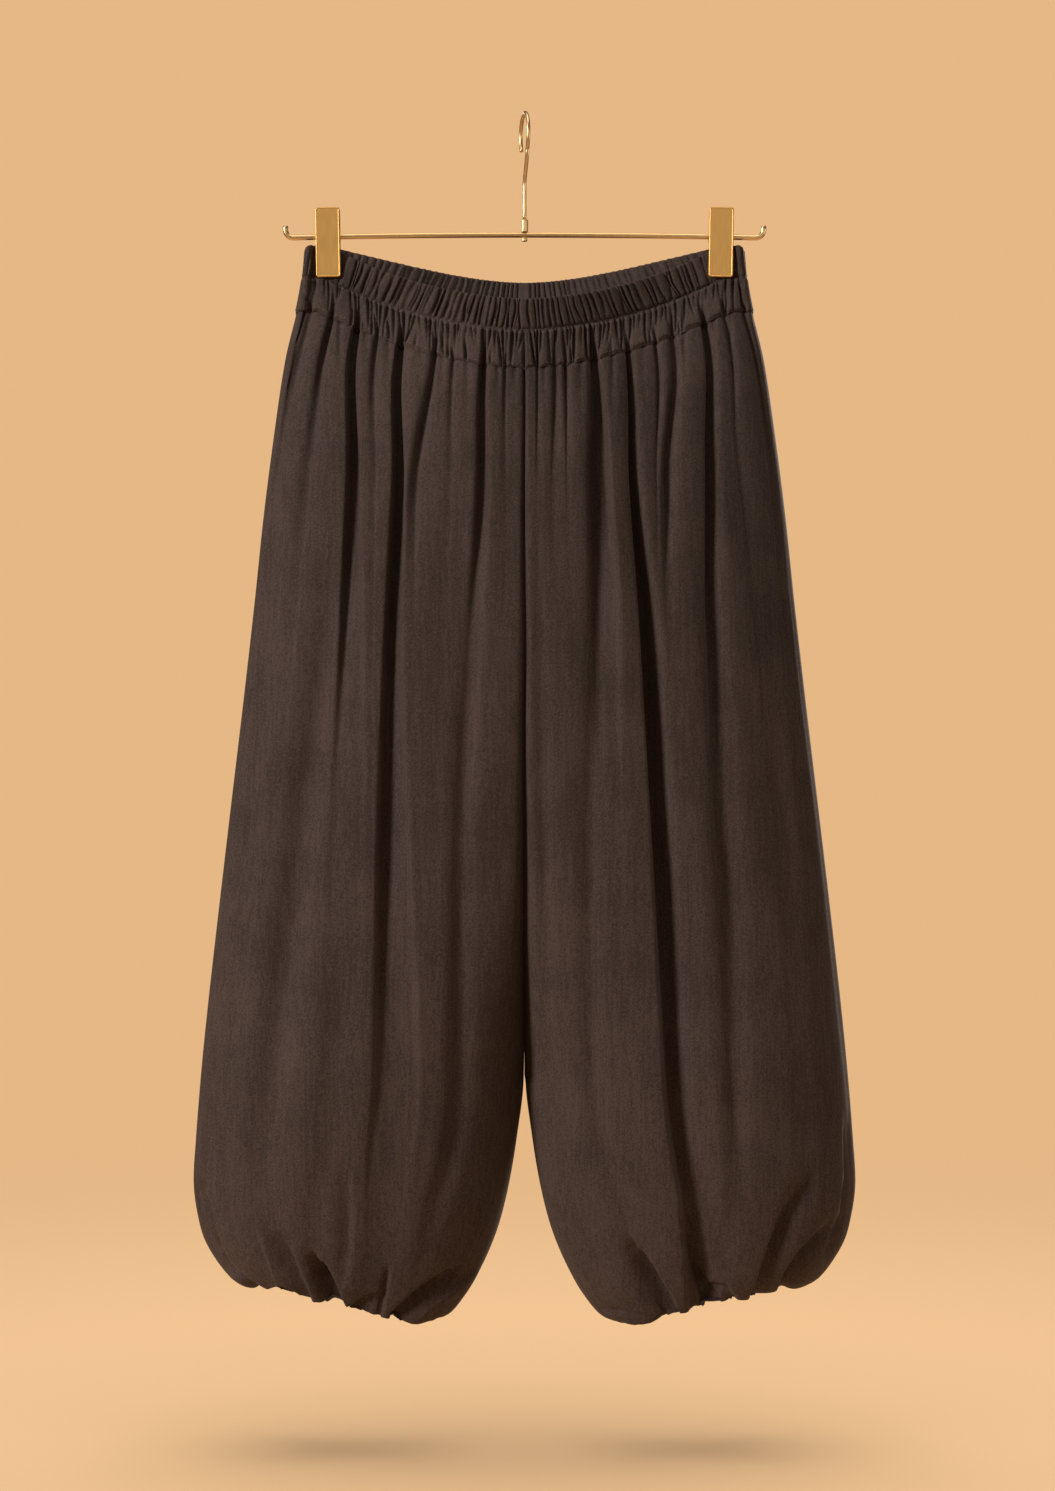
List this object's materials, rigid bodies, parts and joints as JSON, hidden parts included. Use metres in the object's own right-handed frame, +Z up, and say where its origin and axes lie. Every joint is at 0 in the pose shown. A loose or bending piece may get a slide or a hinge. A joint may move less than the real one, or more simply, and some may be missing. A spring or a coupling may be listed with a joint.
{
  "type": "harem pants on a clip hanger",
  "caption": "Loose balloon-leg trousers with a gathered waistband, yoke and elastic ankle casings, hung by clips from a metal hanger.",
  "frame": {"origin": "top of the inside of the hanger's hook, where a rail touches it", "axes": "+Z up, the garment's front faces -Y, +X is the wearer's left"},
  "size_m": [0.556, 0.1455, 1.0139],
  "materials": {
    "cloth": "matt dark brown crepe with a soft drape",
    "elastic": "the same cloth gathered over elastic",
    "brass": "brushed, warm gold"
  },
  "bodies": {
    "root": {"waistband_front": "elastic", "waistband_back": "elastic", "yoke_left_front": "cloth", "yoke_right_front": "cloth", "yoke_left_back": "cloth", "yoke_right_back": "cloth", "leg_left_front": "cloth", "leg_right_front": "cloth", "leg_left_back": "cloth", "leg_right_back": "cloth", "cuff_left": "elastic", "cuff_right": "elastic", "hanger_bar": "brass", "hanger_hook": "brass", "hanger_collar": "brass", "hanger_rivet": "brass", "clip_left_front": "brass", "clip_left_back": "brass", "clip_left_pin": "brass", "clip_right_front": "brass", "clip_right_back": "brass", "clip_right_pin": "brass"}
  },
  "joints": []
}
